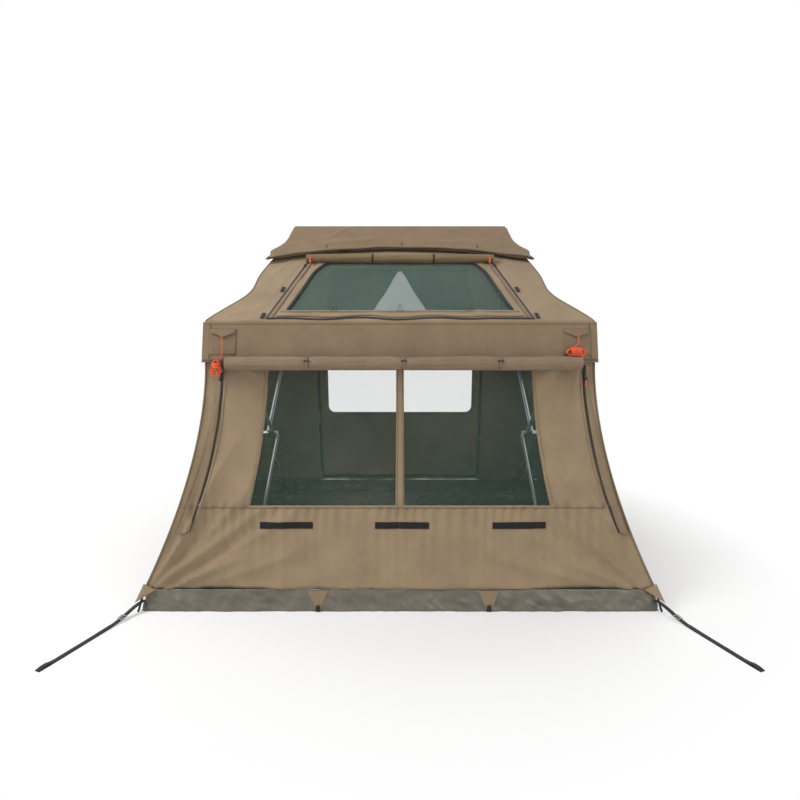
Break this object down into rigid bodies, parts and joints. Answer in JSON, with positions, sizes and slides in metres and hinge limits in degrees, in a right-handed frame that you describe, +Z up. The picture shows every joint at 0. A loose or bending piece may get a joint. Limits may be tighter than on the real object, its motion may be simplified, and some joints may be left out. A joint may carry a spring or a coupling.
{
  "type": "quick-pitch tent",
  "caption": "Touring tent with canvas walls, net windows, a bathtub floor and a hipped roof under a fly, on a folding frame of knee legs.",
  "frame": {"origin": "on the ground, under the middle of the floor", "axes": "+Z up, X across the width, the wall with the big window faces -Y"},
  "size_m": [3.0374, 2.6215, 2.0245],
  "materials": {
    "canvas": "coated woven canvas",
    "net": "fine insect net",
    "vinyl": "coated groundsheet",
    "aluminium": "satin anodised",
    "nylon": "moulded",
    "steel": "zinc plated",
    "rope": "braided cord",
    "webbing": "woven webbing"
  },
  "bodies": {
    "base": {"floor_tub": "vinyl", "front_wall": "canvas", "front_window_net": "net", "back_wall": "canvas", "left_side_wall": "canvas", "right_side_wall": "canvas", "left_window_net": "net", "right_window_net": "net", "front_left_foot": "steel", "back_left_foot": "steel", "front_right_foot": "steel", "back_right_foot": "steel", "left_ground_strap": "webbing", "right_ground_strap": "webbing", "left_peg_tab": "canvas", "right_peg_tab": "canvas"},
    "door": {"back_door": "canvas", "back_door_net": "net"},
    "front_left_lower_leg": {"front_left_lower_arm": "aluminium", "front_left_knee_bolt": "steel"},
    "front_left_upper_leg": {"front_left_upper_arm": "aluminium"},
    "back_left_lower_leg": {"back_left_lower_arm": "aluminium", "back_left_knee_bolt": "steel"},
    "back_left_upper_leg": {"back_left_upper_arm": "aluminium"},
    "front_right_lower_leg": {"front_right_lower_arm": "aluminium", "front_right_knee_bolt": "steel"},
    "front_right_upper_leg": {"front_right_upper_arm": "aluminium"},
    "back_right_lower_leg": {"back_right_lower_arm": "aluminium", "back_right_knee_bolt": "steel"},
    "back_right_upper_leg": {"back_right_upper_arm": "aluminium"},
    "left_button": {"left_hub_button": "nylon"},
    "left_slider": {"left_skylight_slider": "nylon"},
    "right_button": {"right_hub_button": "nylon"},
    "right_slider": {"right_skylight_slider": "nylon"},
    "roof": {"back_eave_bar": "aluminium", "back_left_corner_block": "nylon", "back_left_rafter": "aluminium", "back_right_corner_block": "nylon", "back_right_rafter": "aluminium", "back_skylight_net": "net", "eave_band": "canvas", "front_eave_bar": "aluminium", "front_left_corner_block": "nylon", "front_left_rafter": "aluminium", "front_right_corner_block": "nylon", "front_right_rafter": "aluminium", "front_skylight_net": "net", "left_eave_bar": "aluminium", "left_guy_drop": "rope", "left_guy_hank": "rope", "left_ridge_block": "nylon", "ridge_bar": "aluminium", "right_eave_bar": "aluminium", "right_guy_drop": "rope", "right_guy_hank": "rope", "right_ridge_block": "nylon", "roof_canopy": "canvas", "roof_fly": "canvas", "skylight_cover_roll": "canvas", "window_cover_roll": "canvas"}
  },
  "joints": [
    {"name": "roof_lower", "type": "slide", "parent": "base", "child": "roof", "axis": [0, 0, -1], "range_m": [0, 1.1], "deforming": ["front_wall", "front_window_net", "back_wall", "left_side_wall", "right_side_wall", "left_window_net", "right_window_net", "back_door", "back_door_net"]},
    {"name": "door_open", "type": "hinge", "parent": "roof", "child": "door", "pos_m": [0, 0.9005, 1.197], "axis": [1, 0, 0], "range_deg": [0, 95]},
    {"name": "front_left_foot_pivot", "type": "hinge", "parent": "base", "child": "front_left_lower_leg", "pos_m": [-0.8, -0.86, 0.06], "axis": [-1, 0, 0], "range_deg": [0, 32.5]},
    {"name": "front_left_knee", "type": "hinge", "parent": "front_left_lower_leg", "child": "front_left_upper_leg", "pos_m": [-0.832, 0, 0.70404], "axis": [1, 0, 0], "range_deg": [0, 65]},
    {"name": "back_left_foot_pivot", "type": "hinge", "parent": "base", "child": "back_left_lower_leg", "pos_m": [-0.9, 0.86, 0.06], "axis": [1, 0, 0], "range_deg": [0, 32.5]},
    {"name": "back_left_knee", "type": "hinge", "parent": "back_left_lower_leg", "child": "back_left_upper_leg", "pos_m": [-0.868, 0, 0.70404], "axis": [-1, 0, 0], "range_deg": [0, 65]},
    {"name": "front_right_foot_pivot", "type": "hinge", "parent": "base", "child": "front_right_lower_leg", "pos_m": [0.8, -0.86, 0.06], "axis": [-1, 0, 0], "range_deg": [0, 32.5]},
    {"name": "front_right_knee", "type": "hinge", "parent": "front_right_lower_leg", "child": "front_right_upper_leg", "pos_m": [0.832, 0, 0.70404], "axis": [1, 0, 0], "range_deg": [0, 65]},
    {"name": "back_right_foot_pivot", "type": "hinge", "parent": "base", "child": "back_right_lower_leg", "pos_m": [0.9, 0.86, 0.06], "axis": [1, 0, 0], "range_deg": [0, 32.5]},
    {"name": "back_right_knee", "type": "hinge", "parent": "back_right_lower_leg", "child": "back_right_upper_leg", "pos_m": [0.868, 0, 0.70404], "axis": [-1, 0, 0], "range_deg": [0, 65]},
    {"name": "left_button_press", "type": "slide", "parent": "front_left_lower_leg", "child": "left_button", "axis": [-1, 0, 0], "range_m": [0, 0.0025], "stiffness_N_per_m": 300, "springref_m": -0.003},
    {"name": "left_skylight_zip", "type": "slide", "parent": "roof", "child": "left_slider", "axis": [-0.2334, -0.8153, -0.5299], "range_m": [0, 0.525]},
    {"name": "right_button_press", "type": "slide", "parent": "front_right_lower_leg", "child": "right_button", "axis": [1, 0, 0], "range_m": [0, 0.0025], "stiffness_N_per_m": 300, "springref_m": -0.003},
    {"name": "right_skylight_zip", "type": "slide", "parent": "roof", "child": "right_slider", "axis": [0.2334, -0.8153, -0.5299], "range_m": [0, 0.525]}
  ],
  "couplings": [
    {"joint": "front_left_foot_pivot", "follows": "roof_lower", "rad_per_m": 0.50468},
    {"joint": "front_left_knee", "follows": "roof_lower", "rad_per_m": 1.0094},
    {"joint": "back_left_foot_pivot", "follows": "roof_lower", "rad_per_m": 0.50468},
    {"joint": "back_left_knee", "follows": "roof_lower", "rad_per_m": 1.0094},
    {"joint": "front_right_foot_pivot", "follows": "roof_lower", "rad_per_m": 0.50468},
    {"joint": "front_right_knee", "follows": "roof_lower", "rad_per_m": 1.0094},
    {"joint": "back_right_foot_pivot", "follows": "roof_lower", "rad_per_m": 0.50468},
    {"joint": "back_right_knee", "follows": "roof_lower", "rad_per_m": 1.0094}
  ]
}
